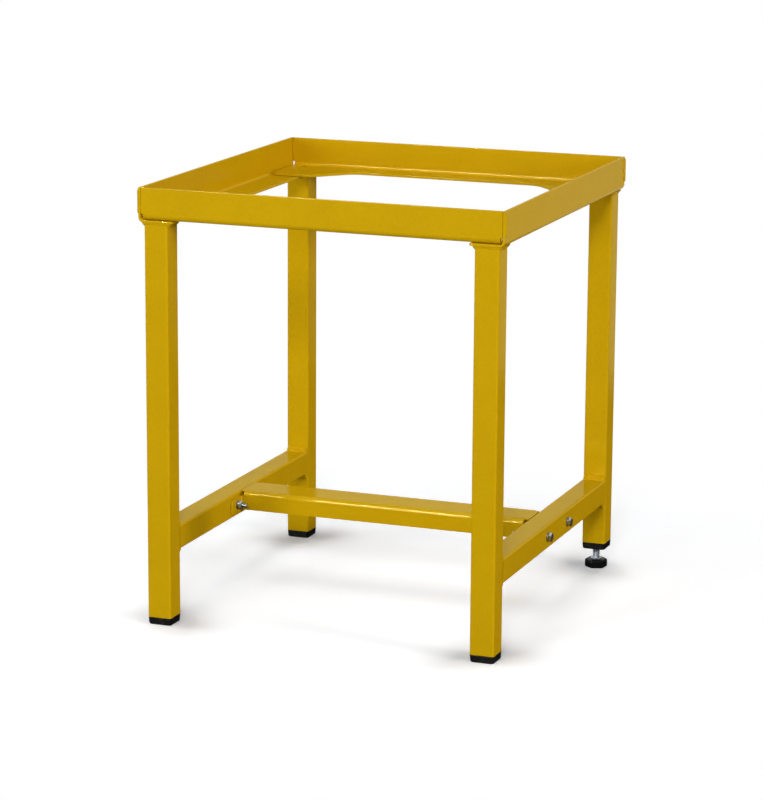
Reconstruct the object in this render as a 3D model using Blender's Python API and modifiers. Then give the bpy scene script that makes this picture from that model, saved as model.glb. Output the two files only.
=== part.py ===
"""Tool chest stand: a folded sheet tray on four square tube legs, braced low down by three rails.

Metres, +Z up. The front faces -Y, the floor is Z = 0 and the stand is centred on X = Y = 0.
Run it with blender --background --python part.py, or from the text editor.
"""

import math

import bmesh
import bpy
from mathutils import Matrix, Vector

# Clearances between separate pieces, and how far a cutter runs past what it cuts
SEAT_GAP = 0.0003
RUNNING_CLEARANCE = 0.0001
CUTTER_MARGIN = 0.0020

# Tray, folded from sheet: two side angles, and two end angles that lie on their flanges
TRAY_WIDTH = 0.480
TRAY_DEPTH = 0.496
RIM_HEIGHT = 0.562
SHEET = 0.0032
BEND_RADIUS = 0.0070
SIDE_WALL_HEIGHT = 0.0440
SIDE_FLANGE_LEDGE = 0.0062
END_FLANGE_WIDTH = 0.0395
TAB_DEPTH = 0.0880
TAB_WIDTH = 0.0609
TAB_TAPER = 0.0442
TAB_CORNER_RADIUS = 0.0100
TAB_BLEND_RADIUS = 0.0300
RELIEF_CLEARANCE = 0.0007
LEG_HOLE_DIAMETER = 0.0130

# Square tube of the legs and the side rails
TUBE_SIZE = 0.03175
TUBE_WALL = 0.0020
TUBE_CORNER_RADIUS = 0.0028
TUBE_BORE_RADIUS = 0.0008
LEG_SIDE_INSET = 0.007125
LEG_END_INSET = 0.001125
RAIL_CENTRE_HEIGHT = 0.1098

# Cross rail, a folded channel with a bolting tab at each end of each web
CROSS_SETBACK = 0.0035
CROSS_WIDTH = 0.0570
CROSS_SHEET = 0.0020
CROSS_BEND_RADIUS = 0.0060
CROSS_FOLD_RADIUS = 0.0025
CROSS_RELIEF_LENGTH = 0.0010
CROSS_RELIEF_MARGIN = 0.0005
CROSS_TAB_RELIEF = 0.0006
CROSS_TAB_SKIRT = 0.0093
CROSS_TAB_TOP_RADIUS = 0.0070
CROSS_TAB_BOTTOM_RADIUS = 0.0030
BOLT_FROM_WEB = 0.0126
BOLT_FROM_TAB_END = 0.0185

# Bolts through the side rails
BOLT_DIAMETER = 0.0060
BOLT_PROJECTION = 0.0065
BOLT_HEAD_ACROSS_FLATS = 0.0100
BOLT_HEAD_HEIGHT = 0.0040
BOLT_END_CHAMFER = 0.0006
NUT_ACROSS_FLATS = 0.0100
NUT_HEIGHT = 0.0050
HEX_EDGE_CHAMFER = 0.0005
WASHER_DIAMETER = 0.0120
WASHER_THICKNESS = 0.0016

# Moulded ends of the legs
CAP_HEIGHT = 0.0090
CAP_EDGE_RADIUS = 0.0018
PLUG_LENGTH = 0.0200
PLUG_RIB_DEPTH = 0.0015
PLUG_RIB_THICKNESS = 0.0016
PLUG_RIB_COUNT = 3

# Levelling foot under the short rear leg
INSERT_HEAD_HEIGHT = 0.0085
BUSH_WALL = 0.0015
BUSH_LENGTH = 0.0240
BUSH_SEAT = 0.0025
STUD_DIAMETER = 0.0100
STUD_LENGTH = 0.0580
STUD_EXPOSED = 0.0145
STUD_END_CHAMFER = 0.0010
COLLAR_DIAMETER = 0.0154
COLLAR_HEIGHT = 0.0014
PIVOT_DIAMETER = 0.0080
PIVOT_LENGTH = 0.0060
PAD_ACROSS_CORNERS = 0.0315
PAD_HEIGHT = 0.0112
PAD_CORNER_RADIUS = 0.0040
PAD_TOP_CHAMFER = 0.0030
PAD_BOTTOM_CHAMFER = 0.0010
PAD_TURN = math.radians(21)

# Weld beads
LEG_BEAD_SIZE = 0.0036
LEG_BEAD_LIP = 0.0008
RAIL_BEAD_SIZE = 0.0065
RAIL_BEAD_FULLNESS = 0.56
CORNER_BEAD_WIDTH = 0.0050
CORNER_BEAD_THICKNESS = 0.0015
CORNER_BEAD_ROUNDING = 0.0007
CORNER_BEAD_DROP = 0.0045
CORNER_BEAD_RISE = 0.0135
LONG_CORNER_BEAD_DROP = 0.0020
LONG_CORNER_BEAD_RISE = 0.0105

# Smoothness of round shapes, and the distance within which points are one
ARC_STEPS = 6
EDGE_STEPS = 2
ROUND_STEPS = 32
SMALL_ROUND_STEPS = 24
HEX_SIDES = 6
SMOOTH_ANGLE = math.radians(35)
WELD_DISTANCE = 1e-6

# Places that follow from the sizes: tray and legs
TRAY_BOTTOM = RIM_HEIGHT - SIDE_WALL_HEIGHT
SEAT_TOP = TRAY_BOTTOM + SHEET
SIDE_FLANGE_WIDTH = LEG_SIDE_INSET + TUBE_SIZE + SIDE_FLANGE_LEDGE
END_ANGLE_BOTTOM = SEAT_TOP + SEAT_GAP
END_WALL_HEIGHT = RIM_HEIGHT - END_ANGLE_BOTTOM
END_ANGLE_HALF_LENGTH = TRAY_WIDTH / 2 - SHEET - SEAT_GAP
INNER_BEND_RADIUS = BEND_RADIUS - SHEET
INNER_BEND_REACH = INNER_BEND_RADIUS - math.sqrt(2 * INNER_BEND_RADIUS * SEAT_GAP - SEAT_GAP ** 2)
RELIEF_WIDTH = INNER_BEND_REACH - SEAT_GAP + RELIEF_CLEARANCE
RELIEF_HEIGHT = BEND_RADIUS + RELIEF_CLEARANCE
LEG_X = TRAY_WIDTH / 2 - LEG_SIDE_INSET - TUBE_SIZE / 2
LEG_Y = TRAY_DEPTH / 2 - LEG_END_INSET - TUBE_SIZE / 2
LEG_TOP = TRAY_BOTTOM - SEAT_GAP
LEG_BEAD_HEIGHT = LEG_BEAD_SIZE + LEG_BEAD_LIP
TUBE_BORE = TUBE_SIZE - 2 * TUBE_WALL

# Places that follow from the sizes: rails and bolts
RAIL_OUTER_X = LEG_X + TUBE_SIZE / 2
RAIL_INNER_X = LEG_X - TUBE_SIZE / 2
RAIL_TOP = RAIL_CENTRE_HEIGHT + TUBE_SIZE / 2
RAIL_END_Y = LEG_Y - TUBE_SIZE / 2 - SEAT_GAP
BOLT_OFFSET = CROSS_WIDTH / 2 + BOLT_FROM_WEB
CROSS_HEIGHT = TUBE_SIZE / 2 + CROSS_TAB_SKIRT
CROSS_TAB_DROP = CROSS_BEND_RADIUS + CROSS_TAB_RELIEF
CROSS_TAB_REACH = BOLT_OFFSET + BOLT_FROM_TAB_END
CROSS_TAB_BACK_X = RAIL_INNER_X - SEAT_GAP
CROSS_TAB_FACE_X = CROSS_TAB_BACK_X - CROSS_SHEET
CROSS_RELIEF_X = CROSS_TAB_FACE_X - CROSS_FOLD_RADIUS - CROSS_RELIEF_LENGTH
BOLT_BORE = BOLT_DIAMETER + 2 * SEAT_GAP
BOLT_SEAT_X = RAIL_OUTER_X + 2 * SEAT_GAP + WASHER_THICKNESS
OUTER_WASHER_X = RAIL_OUTER_X + SEAT_GAP + WASHER_THICKNESS / 2
INNER_WASHER_X = CROSS_TAB_FACE_X - SEAT_GAP - WASHER_THICKNESS / 2
NUT_SEAT_X = CROSS_TAB_FACE_X - 2 * SEAT_GAP - WASHER_THICKNESS
BOLT_LENGTH = BOLT_SEAT_X - NUT_SEAT_X + NUT_HEIGHT + BOLT_PROJECTION

# Places that follow from the sizes: leg ends
LONG_LEG_BOTTOM = CAP_HEIGHT + SEAT_GAP
COLLAR_BOTTOM = PAD_HEIGHT + RUNNING_CLEARANCE
INSERT_BOTTOM = COLLAR_BOTTOM + COLLAR_HEIGHT + STUD_EXPOSED
SHORT_LEG_BOTTOM = INSERT_BOTTOM + INSERT_HEAD_HEIGHT + SEAT_GAP
PLUG_CORE_SIZE = TUBE_BORE - 2 * PLUG_RIB_DEPTH
STUD_BORE = STUD_DIAMETER + 2 * RUNNING_CLEARANCE
BUSH_DIAMETER = STUD_BORE + 2 * BUSH_WALL

# Turns that lay a prism's length along a world axis
ALONG_Z = (0, 0, 0)
ALONG_Y = (math.pi / 2, 0, 0)
ALONG_X = (math.pi / 2, 0, math.pi / 2)
ROUND_ALONG_X = (0, math.pi / 2, 0)

SIDES = (("left", -1), ("right", 1))
ENDS = (("front", -1), ("rear", 1))
CORNERS_OF_SQUARE = ((-1, -1), (1, -1), (1, 1), (-1, 1))
SHORT_LEG = "rear_right"
LONG_CORNER_BEADS = ("front_left", "rear_right")


def clear_scene():
    for obj in list(bpy.data.objects):
        bpy.data.objects.remove(obj, do_unlink=True)


def new_collection(name):
    collection = bpy.data.collections.new(name)
    bpy.context.scene.collection.children.link(collection)
    return collection


def new_material(name, colour, roughness, metallic):
    material = bpy.data.materials.new(name)
    material.use_nodes = True
    shader = material.node_tree.nodes["Principled BSDF"]
    shader.inputs["Base Color"].default_value = (*colour, 1)
    shader.inputs["Roughness"].default_value = roughness
    shader.inputs["Metallic"].default_value = metallic
    return material


clear_scene()
STAND = new_collection("tool_chest_stand")
CUTTERS = new_collection("cutters")
YELLOW_COAT = new_material("yellow_powder_coat", (0.55, 0.34, 0.004), 0.38, 0)
BLACK_PLASTIC = new_material("black_moulded_plastic", (0.012, 0.012, 0.013), 0.5, 0)
ZINC = new_material("zinc_plated_steel", (0.55, 0.57, 0.60), 0.3, 1)


# Outlines in a plane, each a list of points


def rounded_outline(corners):
    """The closed outline through corners (x, y, radius), each rounded by an arc of its radius."""
    points = []
    for index, (x, y, radius) in enumerate(corners):
        corner = Vector((x, y))
        if radius <= 0:
            points.append(corner)
            continue
        towards_last = (Vector(corners[index - 1][:2]) - corner).normalized()
        towards_next = (Vector(corners[(index + 1) % len(corners)][:2]) - corner).normalized()
        half_angle = towards_last.angle(towards_next) / 2
        tangent = radius / math.tan(half_angle)
        centre = corner + (towards_last + towards_next).normalized() * radius / math.sin(half_angle)
        start = corner + towards_last * tangent - centre
        end = corner + towards_next * tangent - centre
        first = math.atan2(start.y, start.x)
        sweep = (math.atan2(end.y, end.x) - first + math.pi) % (2 * math.pi) - math.pi
        for step in range(ARC_STEPS + 1):
            angle = first + sweep * step / ARC_STEPS
            points.append(centre + radius * Vector((math.cos(angle), math.sin(angle))))
    return points


def rounded_rectangle(width, height, radius):
    return rounded_outline([(x * width / 2, y * height / 2, radius) for x, y in CORNERS_OF_SQUARE])


def rounded_square(size, radius):
    return rounded_rectangle(size, size, radius)


def rounded_hexagon(across_corners, radius):
    reach = across_corners / 2
    turns = [2 * math.pi * side / HEX_SIDES for side in range(HEX_SIDES)]
    return rounded_outline([(reach * math.cos(turn), reach * math.sin(turn), radius) for turn in turns])


def angle_section(height, flange):
    """An L section with its outside corner at the origin: the wall runs up y and the flange along x."""
    return rounded_outline([
        (0, 0, BEND_RADIUS),
        (flange, 0, 0),
        (flange, SHEET, 0),
        (SHEET, SHEET, INNER_BEND_RADIUS),
        (SHEET, height, 0),
        (0, height, 0),
    ])


# Solids


def mesh_object(name, mesh, collection=STAND):
    obj = bpy.data.objects.new(name, mesh)
    collection.objects.link(obj)
    return obj


def evaluated_mesh(obj):
    """A plain mesh of what the object shows, with the seams that its caps leave welded."""
    bpy.context.view_layer.update()
    mesh = bpy.data.meshes.new_from_object(obj.evaluated_get(bpy.context.evaluated_depsgraph_get()))
    shape = bmesh.new()
    shape.from_mesh(mesh)
    bmesh.ops.remove_doubles(shape, verts=shape.verts, dist=WELD_DISTANCE)
    bmesh.ops.recalc_face_normals(shape, faces=shape.faces)
    shape.to_mesh(mesh)
    shape.free()
    return mesh


def prism(name, outlines, length):
    """The outlines, the first with any holes after it, extruded along Z about the origin."""
    curve = bpy.data.curves.new(name, "CURVE")
    curve.dimensions = "2D"
    curve.fill_mode = "BOTH"
    curve.extrude = length / 2
    for outline in outlines:
        spline = curve.splines.new("POLY")
        spline.points.add(len(outline) - 1)
        spline.use_cyclic_u = True
        for point, place in zip(spline.points, outline):
            point.co = (place[0], place[1], 0, 1)
    drawn = mesh_object(name + "_outline", curve)
    mesh = evaluated_mesh(drawn)
    bpy.data.objects.remove(drawn)
    bpy.data.curves.remove(curve)
    return mesh_object(name, mesh)


def box(name, size):
    shape = bmesh.new()
    bmesh.ops.create_cube(shape, size=1, matrix=Matrix.Diagonal((*size, 1)))
    mesh = bpy.data.meshes.new(name)
    shape.to_mesh(mesh)
    shape.free()
    return mesh_object(name, mesh)


def cylinder(name, diameter, length, steps):
    shape = bmesh.new()
    bmesh.ops.create_cone(
        shape, cap_ends=True, segments=steps, radius1=diameter / 2, radius2=diameter / 2, depth=length
    )
    mesh = bpy.data.meshes.new(name)
    shape.to_mesh(mesh)
    shape.free()
    return mesh_object(name, mesh)


def hexagon(name, across_flats, height):
    """A six-sided block along Z with its end edges broken."""
    obj = cylinder(name, across_flats / math.cos(math.pi / HEX_SIDES), height, HEX_SIDES)
    bevel_edges(obj, 1, lambda a, b: HEX_EDGE_CHAMFER if a.z * b.z > 0 else 0)
    return obj


def turned(name, profile, steps, closed=False):
    """The profile (radius, height), from the top down its outer side, turned about Z."""
    shape = bmesh.new()
    points = [shape.verts.new((radius, 0, height)) for radius, height in profile]
    for first, second in zip(points, points[1:]):
        shape.edges.new((first, second))
    if closed:
        shape.edges.new((points[-1], points[0]))
    mesh = bpy.data.meshes.new(name)
    shape.to_mesh(mesh)
    shape.free()
    obj = mesh_object(name, mesh)
    screw = obj.modifiers.new("turn", "SCREW")
    screw.steps = steps
    screw.render_steps = steps
    screw.use_merge_vertices = True
    screw.merge_threshold = WELD_DISTANCE
    return obj


def folded_sheet(name, panels, folds, thickness):
    """Flat panels (points, outward direction) joined at folds (end, end, radius of the outward side)."""
    shape = bmesh.new()
    for corners, outward in panels:
        panel = shape.faces.new([shape.verts.new(corner) for corner in corners])
        panel.normal_update()
        if panel.normal.dot(Vector(outward)) < 0:
            panel.normal_flip()
    bmesh.ops.remove_doubles(shape, verts=shape.verts, dist=WELD_DISTANCE)
    widest = max(radius for _, _, radius in folds)
    weight = shape.edges.layers.float.new("bevel_weight_edge")
    for edge in shape.edges:
        middle = (edge.verts[0].co + edge.verts[1].co) / 2
        for first, last, radius in folds:
            if (middle - (Vector(first) + Vector(last)) / 2).length < WELD_DISTANCE:
                edge[weight] = radius / widest
    mesh = bpy.data.meshes.new(name)
    shape.to_mesh(mesh)
    shape.free()
    obj = mesh_object(name, mesh)
    bend = obj.modifiers.new("bends", "BEVEL")
    bend.limit_method = "WEIGHT"
    bend.width = widest
    bend.segments = ARC_STEPS
    bend.use_clamp_overlap = False
    gauge = obj.modifiers.new("sheet", "SOLIDIFY")
    gauge.thickness = thickness
    gauge.offset = -1
    gauge.use_even_offset = True
    return obj


def place(obj, location, rotation=ALONG_Z):
    obj.location = location
    obj.rotation_euler = rotation
    return obj


def combine(obj, other, operation):
    modifier = obj.modifiers.new(operation.lower() + "_" + other.name, "BOOLEAN")
    modifier.operation = operation
    modifier.solver = "EXACT"
    modifier.object = other
    STAND.objects.unlink(other)
    CUTTERS.objects.link(other)
    other.hide_render = True
    other.display_type = "WIRE"


def bevel_edges(obj, steps, width_of):
    """Bevels each sharp edge by the width that width_of gives for its two ends, none where that is 0."""
    shape = bmesh.new()
    shape.from_mesh(obj.data)
    weight = shape.edges.layers.float.new("bevel_weight_edge")
    sharp = [edge for edge in shape.edges if edge.calc_face_angle(0) > SMOOTH_ANGLE]
    widths = [width_of(edge.verts[0].co, edge.verts[1].co) for edge in sharp]
    widest = max(widths)
    for edge, width in zip(sharp, widths):
        edge[weight] = width / widest
    shape.to_mesh(obj.data)
    shape.free()
    bevel = obj.modifiers.new("bevelled_edges", "BEVEL")
    bevel.limit_method = "WEIGHT"
    bevel.width = widest
    bevel.segments = steps


def bake(obj):
    """Turns the object's modifiers into its own mesh and removes the pieces that they used."""
    mesh = evaluated_mesh(obj)
    used = [modifier.object for modifier in obj.modifiers if modifier.type == "BOOLEAN"]
    obj.modifiers.clear()
    obj.data = mesh
    for other in used:
        bpy.data.objects.remove(other)
    return obj


def finish(obj, material, parent):
    """Gives a finished piece its own copy of the material, smooth round faces and its parent."""
    own = material.copy()
    own.name = obj.name + "_" + material.name
    obj.data.materials.clear()
    obj.data.materials.append(own)
    obj.data.shade_smooth()
    obj.data.set_sharp_from_angle(angle=SMOOTH_ANGLE)
    obj.parent = parent


def copy_of(pattern, name):
    return mesh_object(name, pattern.data.copy())


def new_empty(name, location, parent):
    empty = bpy.data.objects.new(name, None)
    empty.empty_display_size = TUBE_SIZE
    empty.location = location
    empty.parent = parent
    STAND.objects.link(empty)
    return empty


# Tray


def drill_leg_holes(obj, legs):
    """Cuts the round hole over each of these legs through a tray piece."""
    for x, y in legs:
        drill = cylinder(obj.name + "_drill", LEG_HOLE_DIAMETER, SIDE_WALL_HEIGHT, SMALL_ROUND_STEPS)
        place(drill, (x, y, SEAT_TOP))
        combine(obj, drill, "DIFFERENCE")


def side_angle(side, sign, parent):
    section = [(-sign * x, y) for x, y in angle_section(SIDE_WALL_HEIGHT, SIDE_FLANGE_WIDTH)]
    obj = prism("side_angle_" + side, [section], TRAY_DEPTH)
    place(obj, (sign * TRAY_WIDTH / 2, 0, TRAY_BOTTOM), ALONG_Y)
    drill_leg_holes(obj, [(sign * LEG_X, -LEG_Y), (sign * LEG_X, LEG_Y)])
    finish(obj, YELLOW_COAT, parent)


def end_angle_plan():
    """The end angle seen from above, with its wall along x and its corner tabs reaching up y."""
    wall_end = END_ANGLE_HALF_LENGTH
    tab_end = wall_end - RELIEF_WIDTH
    tab_foot = wall_end - TAB_WIDTH
    right = [
        (wall_end, -CUTTER_MARGIN, 0),
        (wall_end, BEND_RADIUS, 0),
        (tab_end, BEND_RADIUS, 0),
        (tab_end, TAB_DEPTH, TAB_CORNER_RADIUS),
        (tab_foot, TAB_DEPTH, TAB_BLEND_RADIUS),
        (tab_foot - TAB_TAPER, END_FLANGE_WIDTH, TAB_BLEND_RADIUS),
    ]
    left = [(-x, y, radius) for x, y, radius in reversed(right)]
    return rounded_outline(right + left)


def end_angle(end, sign, parent):
    name = end + "_angle"
    section = angle_section(END_WALL_HEIGHT, TAB_DEPTH + CUTTER_MARGIN)
    section = [(-sign * x, y) for x, y in section]
    obj = prism(name, [section], 2 * (END_ANGLE_HALF_LENGTH + CUTTER_MARGIN))
    place(obj, (0, sign * TRAY_DEPTH / 2, END_ANGLE_BOTTOM), ALONG_X)

    plan = [(x, -sign * y) for x, y in end_angle_plan()]
    trim = prism(name + "_plan", [plan], 2 * (END_WALL_HEIGHT + CUTTER_MARGIN))
    place(trim, (0, sign * TRAY_DEPTH / 2, END_ANGLE_BOTTOM))
    combine(obj, trim, "INTERSECT")

    size = Vector((RELIEF_WIDTH, BEND_RADIUS, RELIEF_HEIGHT)) + Vector([CUTTER_MARGIN] * 3)
    for side, side_sign in SIDES:
        relief = box(name + "_relief_" + side, size)
        x = END_ANGLE_HALF_LENGTH - RELIEF_WIDTH + size.x / 2
        y = TRAY_DEPTH / 2 - BEND_RADIUS + size.y / 2
        z = END_ANGLE_BOTTOM + RELIEF_HEIGHT - size.z / 2
        place(relief, (side_sign * x, sign * y, z))
        combine(obj, relief, "DIFFERENCE")
    drill_leg_holes(obj, [(-LEG_X, sign * LEG_Y), (LEG_X, sign * LEG_Y)])
    finish(obj, YELLOW_COAT, parent)


def corner_bead(end, end_sign, side, side_sign, parent):
    """The bead that joins a side wall to an end wall, on the outside of the corner."""
    long_bead = f"{end}_{side}" in LONG_CORNER_BEADS
    top = RIM_HEIGHT - (LONG_CORNER_BEAD_DROP if long_bead else CORNER_BEAD_DROP)
    bottom = TRAY_BOTTOM + (LONG_CORNER_BEAD_RISE if long_bead else CORNER_BEAD_RISE)
    radius = CORNER_BEAD_WIDTH / 2 - CORNER_BEAD_ROUNDING
    outline = rounded_rectangle(CORNER_BEAD_WIDTH, top - bottom, radius)
    obj = prism(f"corner_bead_{end}_{side}", [outline], CORNER_BEAD_THICKNESS)
    bevel_edges(
        obj, EDGE_STEPS, lambda a, b: CORNER_BEAD_ROUNDING if min(a.z * side_sign, b.z * side_sign) > 0 else 0
    )
    x = side_sign * (TRAY_WIDTH / 2 + SEAT_GAP + CORNER_BEAD_THICKNESS / 2)
    y = end_sign * (TRAY_DEPTH / 2 - CORNER_BEAD_WIDTH / 2)
    place(obj, (x, y, (top + bottom) / 2), ALONG_X)
    finish(obj, YELLOW_COAT, parent)


# Legs and side rails


def tube_outlines():
    return [rounded_square(TUBE_SIZE, TUBE_CORNER_RADIUS), rounded_square(TUBE_BORE, TUBE_BORE_RADIUS)]


def leg(end, end_sign, side, side_sign, parent):
    bottom = SHORT_LEG_BOTTOM if f"{end}_{side}" == SHORT_LEG else LONG_LEG_BOTTOM
    obj = prism(f"leg_{end}_{side}", tube_outlines(), LEG_TOP - bottom)
    place(obj, (side_sign * LEG_X, end_sign * LEG_Y, (LEG_TOP + bottom) / 2))
    finish(obj, YELLOW_COAT, parent)


def leg_bead(end, end_sign, side, side_sign, parent):
    """The fillet weld round the top of a leg, against the underside of the tray."""
    name = f"leg_bead_{end}_{side}"
    z = LEG_TOP - LEG_BEAD_HEIGHT / 2
    depth = LEG_BEAD_SIZE + TUBE_SIZE + LEG_END_INSET
    obj = box(name, (TUBE_SIZE + 2 * LEG_BEAD_SIZE, depth, LEG_BEAD_HEIGHT))
    slope = LEG_BEAD_SIZE - SEAT_GAP
    bevel_edges(obj, 1, lambda a, b: slope if max(a.z, b.z) < 0 else 0)
    place(obj, (side_sign * LEG_X, end_sign * (LEG_Y + (LEG_END_INSET - LEG_BEAD_SIZE) / 2), z))
    core = rounded_square(TUBE_SIZE + 2 * SEAT_GAP, TUBE_CORNER_RADIUS + SEAT_GAP)
    cutter = prism(name + "_core", [core], LEG_BEAD_HEIGHT + 2 * CUTTER_MARGIN)
    place(cutter, (side_sign * LEG_X, end_sign * LEG_Y, z))
    combine(obj, cutter, "DIFFERENCE")
    finish(obj, YELLOW_COAT, parent)


def bolt_places():
    """Each bolt's name, its place along Y and the side of its rail."""
    for side, side_sign in SIDES:
        for end, end_sign in ENDS:
            yield f"{side}_{end}", CROSS_SETBACK + end_sign * BOLT_OFFSET, side_sign


def side_rail(side, sign, parent):
    obj = prism("side_rail_" + side, tube_outlines(), 2 * RAIL_END_Y)
    place(obj, (sign * LEG_X, 0, RAIL_CENTRE_HEIGHT), ALONG_Y)
    for name, y, bolt_side in bolt_places():
        if bolt_side == sign:
            length = TUBE_SIZE + 2 * CUTTER_MARGIN
            drill = cylinder(name + "_rail_drill", BOLT_BORE, length, SMALL_ROUND_STEPS)
            place(drill, (sign * LEG_X, y, RAIL_CENTRE_HEIGHT), ROUND_ALONG_X)
            combine(obj, drill, "DIFFERENCE")
    finish(obj, YELLOW_COAT, parent)


def rail_bead(end, end_sign, side, side_sign, level, level_sign, parent):
    """The fillet weld across the top or the bottom of a side rail, where it meets a leg."""
    size = RAIL_BEAD_SIZE
    middle = RAIL_BEAD_FULLNESS * size
    outline = [(0, 0), (size, 0), (middle, middle), (0, size)]
    outline = [(-end_sign * x, level_sign * y) for x, y in outline]
    obj = prism(f"rail_bead_{end}_{side}_{level}", [outline], TUBE_SIZE - 2 * TUBE_CORNER_RADIUS)
    z = RAIL_CENTRE_HEIGHT + level_sign * (TUBE_SIZE / 2 + SEAT_GAP)
    place(obj, (side_sign * LEG_X, end_sign * RAIL_END_Y, z), ALONG_X)
    finish(obj, YELLOW_COAT, parent)


# Cross rail


def cross_top_outline():
    """The top of the channel seen from above, narrower past the bends, with y from its middle."""
    flat = CROSS_WIDTH / 2 - CROSS_BEND_RADIUS - CROSS_RELIEF_MARGIN
    quarter = [(CROSS_RELIEF_X, CROSS_WIDTH / 2), (CROSS_RELIEF_X, flat), (CROSS_TAB_BACK_X, flat)]
    right = quarter + [(x, -y) for x, y in reversed(quarter)]
    return right + [(-x, y) for x, y in reversed(right)]


def cross_web_outline():
    """A web seen from the front, with z from the top of the channel."""
    right = [
        (CROSS_RELIEF_X, 0),
        (CROSS_RELIEF_X, -CROSS_TAB_DROP),
        (CROSS_TAB_FACE_X, -CROSS_TAB_DROP),
        (CROSS_TAB_FACE_X, -CROSS_HEIGHT),
    ]
    return right + [(-x, z) for x, z in reversed(right)]


def cross_tab_outline():
    """A bolting tab seen along X, from the web outwards, with z from the top of the channel."""
    return rounded_outline([
        (CROSS_WIDTH / 2, -CROSS_TAB_DROP, 0),
        (CROSS_TAB_REACH, -CROSS_TAB_DROP, CROSS_TAB_TOP_RADIUS),
        (CROSS_TAB_REACH, -CROSS_HEIGHT, CROSS_TAB_BOTTOM_RADIUS),
        (CROSS_WIDTH / 2, -CROSS_HEIGHT, 0),
    ])


def cross_rail(parent):
    panels = [([(x, y, 0) for x, y in cross_top_outline()], (0, 0, 1))]
    folds = []
    for _, end_sign in ENDS:
        y = end_sign * CROSS_WIDTH / 2
        panels.append(([(x, y, z) for x, z in cross_web_outline()], (0, end_sign, 0)))
        folds.append(((-CROSS_RELIEF_X, y, 0), (CROSS_RELIEF_X, y, 0), CROSS_BEND_RADIUS))
        for _, side_sign in SIDES:
            x = side_sign * CROSS_TAB_FACE_X
            tab = [(x, end_sign * reach, z) for reach, z in cross_tab_outline()]
            panels.append((tab, (-side_sign, 0, 0)))
            folds.append(((x, y, -CROSS_TAB_DROP), (x, y, -CROSS_HEIGHT), CROSS_FOLD_RADIUS))
    obj = folded_sheet("cross_rail", panels, folds, CROSS_SHEET)
    place(obj, (0, CROSS_SETBACK, RAIL_TOP))
    for bolt, y, sign in bolt_places():
        length = 2 * (CROSS_SHEET + CUTTER_MARGIN)
        drill = cylinder(bolt + "_tab_drill", BOLT_BORE, length, SMALL_ROUND_STEPS)
        place(drill, (sign * CROSS_TAB_FACE_X, y, RAIL_CENTRE_HEIGHT), ROUND_ALONG_X)
        combine(obj, drill, "DIFFERENCE")
    finish(obj, YELLOW_COAT, parent)


# Fasteners, each drawn once about its own axis along Z


def bolt_pattern():
    obj = hexagon("bolt_pattern", BOLT_HEAD_ACROSS_FLATS, BOLT_HEAD_HEIGHT)
    radius = BOLT_DIAMETER / 2
    end = -BOLT_HEAD_HEIGHT / 2 - BOLT_LENGTH
    profile = [
        (0, 0),
        (radius, 0),
        (radius, end + BOLT_END_CHAMFER),
        (radius - BOLT_END_CHAMFER, end),
        (0, end),
    ]
    combine(obj, turned("bolt_shank", profile, SMALL_ROUND_STEPS), "UNION")
    return bake(obj)


def nut_pattern():
    obj = hexagon("nut_pattern", NUT_ACROSS_FLATS, NUT_HEIGHT)
    bore = cylinder("nut_bore", BOLT_BORE, NUT_HEIGHT + 2 * CUTTER_MARGIN, SMALL_ROUND_STEPS)
    combine(obj, bore, "DIFFERENCE")
    return bake(obj)


def ring_profile(inner_diameter, outer_diameter, bottom, top):
    inner = inner_diameter / 2
    outer = outer_diameter / 2
    return [(inner, top), (outer, top), (outer, bottom), (inner, bottom)]


def washer_pattern():
    half = WASHER_THICKNESS / 2
    profile = ring_profile(BOLT_BORE, WASHER_DIAMETER, -half, half)
    return bake(turned("washer_pattern", profile, SMALL_ROUND_STEPS, closed=True))


def fasteners(parent):
    """A bolt with a washer under its head, and a washer and a nut inside the tab, at each bolt place."""
    bolt = bolt_pattern()
    nut = nut_pattern()
    washer = washer_pattern()
    stack = (
        ("bolt_", bolt, BOLT_SEAT_X + BOLT_HEAD_HEIGHT / 2),
        ("head_washer_", washer, OUTER_WASHER_X),
        ("nut_washer_", washer, INNER_WASHER_X),
        ("nut_", nut, NUT_SEAT_X - NUT_HEIGHT / 2),
    )
    for name, y, sign in bolt_places():
        for prefix, pattern, x in stack:
            obj = copy_of(pattern, prefix + name)
            place(obj, (sign * x, y, RAIL_CENTRE_HEIGHT), (0, sign * math.pi / 2, 0))
            finish(obj, ZINC, parent)
    for pattern in (bolt, nut, washer):
        bpy.data.objects.remove(pattern)


# Leg ends


def plugged_head(name, head_height):
    """A moulded leg end about the leg's axis: the head below Z = 0 and its ribbed plug above."""
    obj = prism(name, [rounded_square(TUBE_SIZE, TUBE_CORNER_RADIUS)], head_height)
    bevel_edges(obj, EDGE_STEPS, lambda a, b: CAP_EDGE_RADIUS if max(a.z, b.z) < 0 else 0)
    obj.data.transform(Matrix.Translation((0, 0, -head_height / 2)))
    sunk = head_height / 2
    core = prism(name + "_core", [rounded_square(PLUG_CORE_SIZE, TUBE_BORE_RADIUS)], PLUG_LENGTH + sunk)
    place(core, (0, 0, (PLUG_LENGTH - sunk) / 2))
    combine(obj, core, "UNION")
    rib_outline = rounded_square(TUBE_BORE - 2 * SEAT_GAP, TUBE_BORE_RADIUS)
    pitch = PLUG_LENGTH / (PLUG_RIB_COUNT + 1)
    for index in range(PLUG_RIB_COUNT):
        rib = prism(f"{name}_rib_{index}", [rib_outline], PLUG_RIB_THICKNESS)
        place(rib, (0, 0, (index + 1) * pitch))
        combine(obj, rib, "UNION")
    return obj


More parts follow.
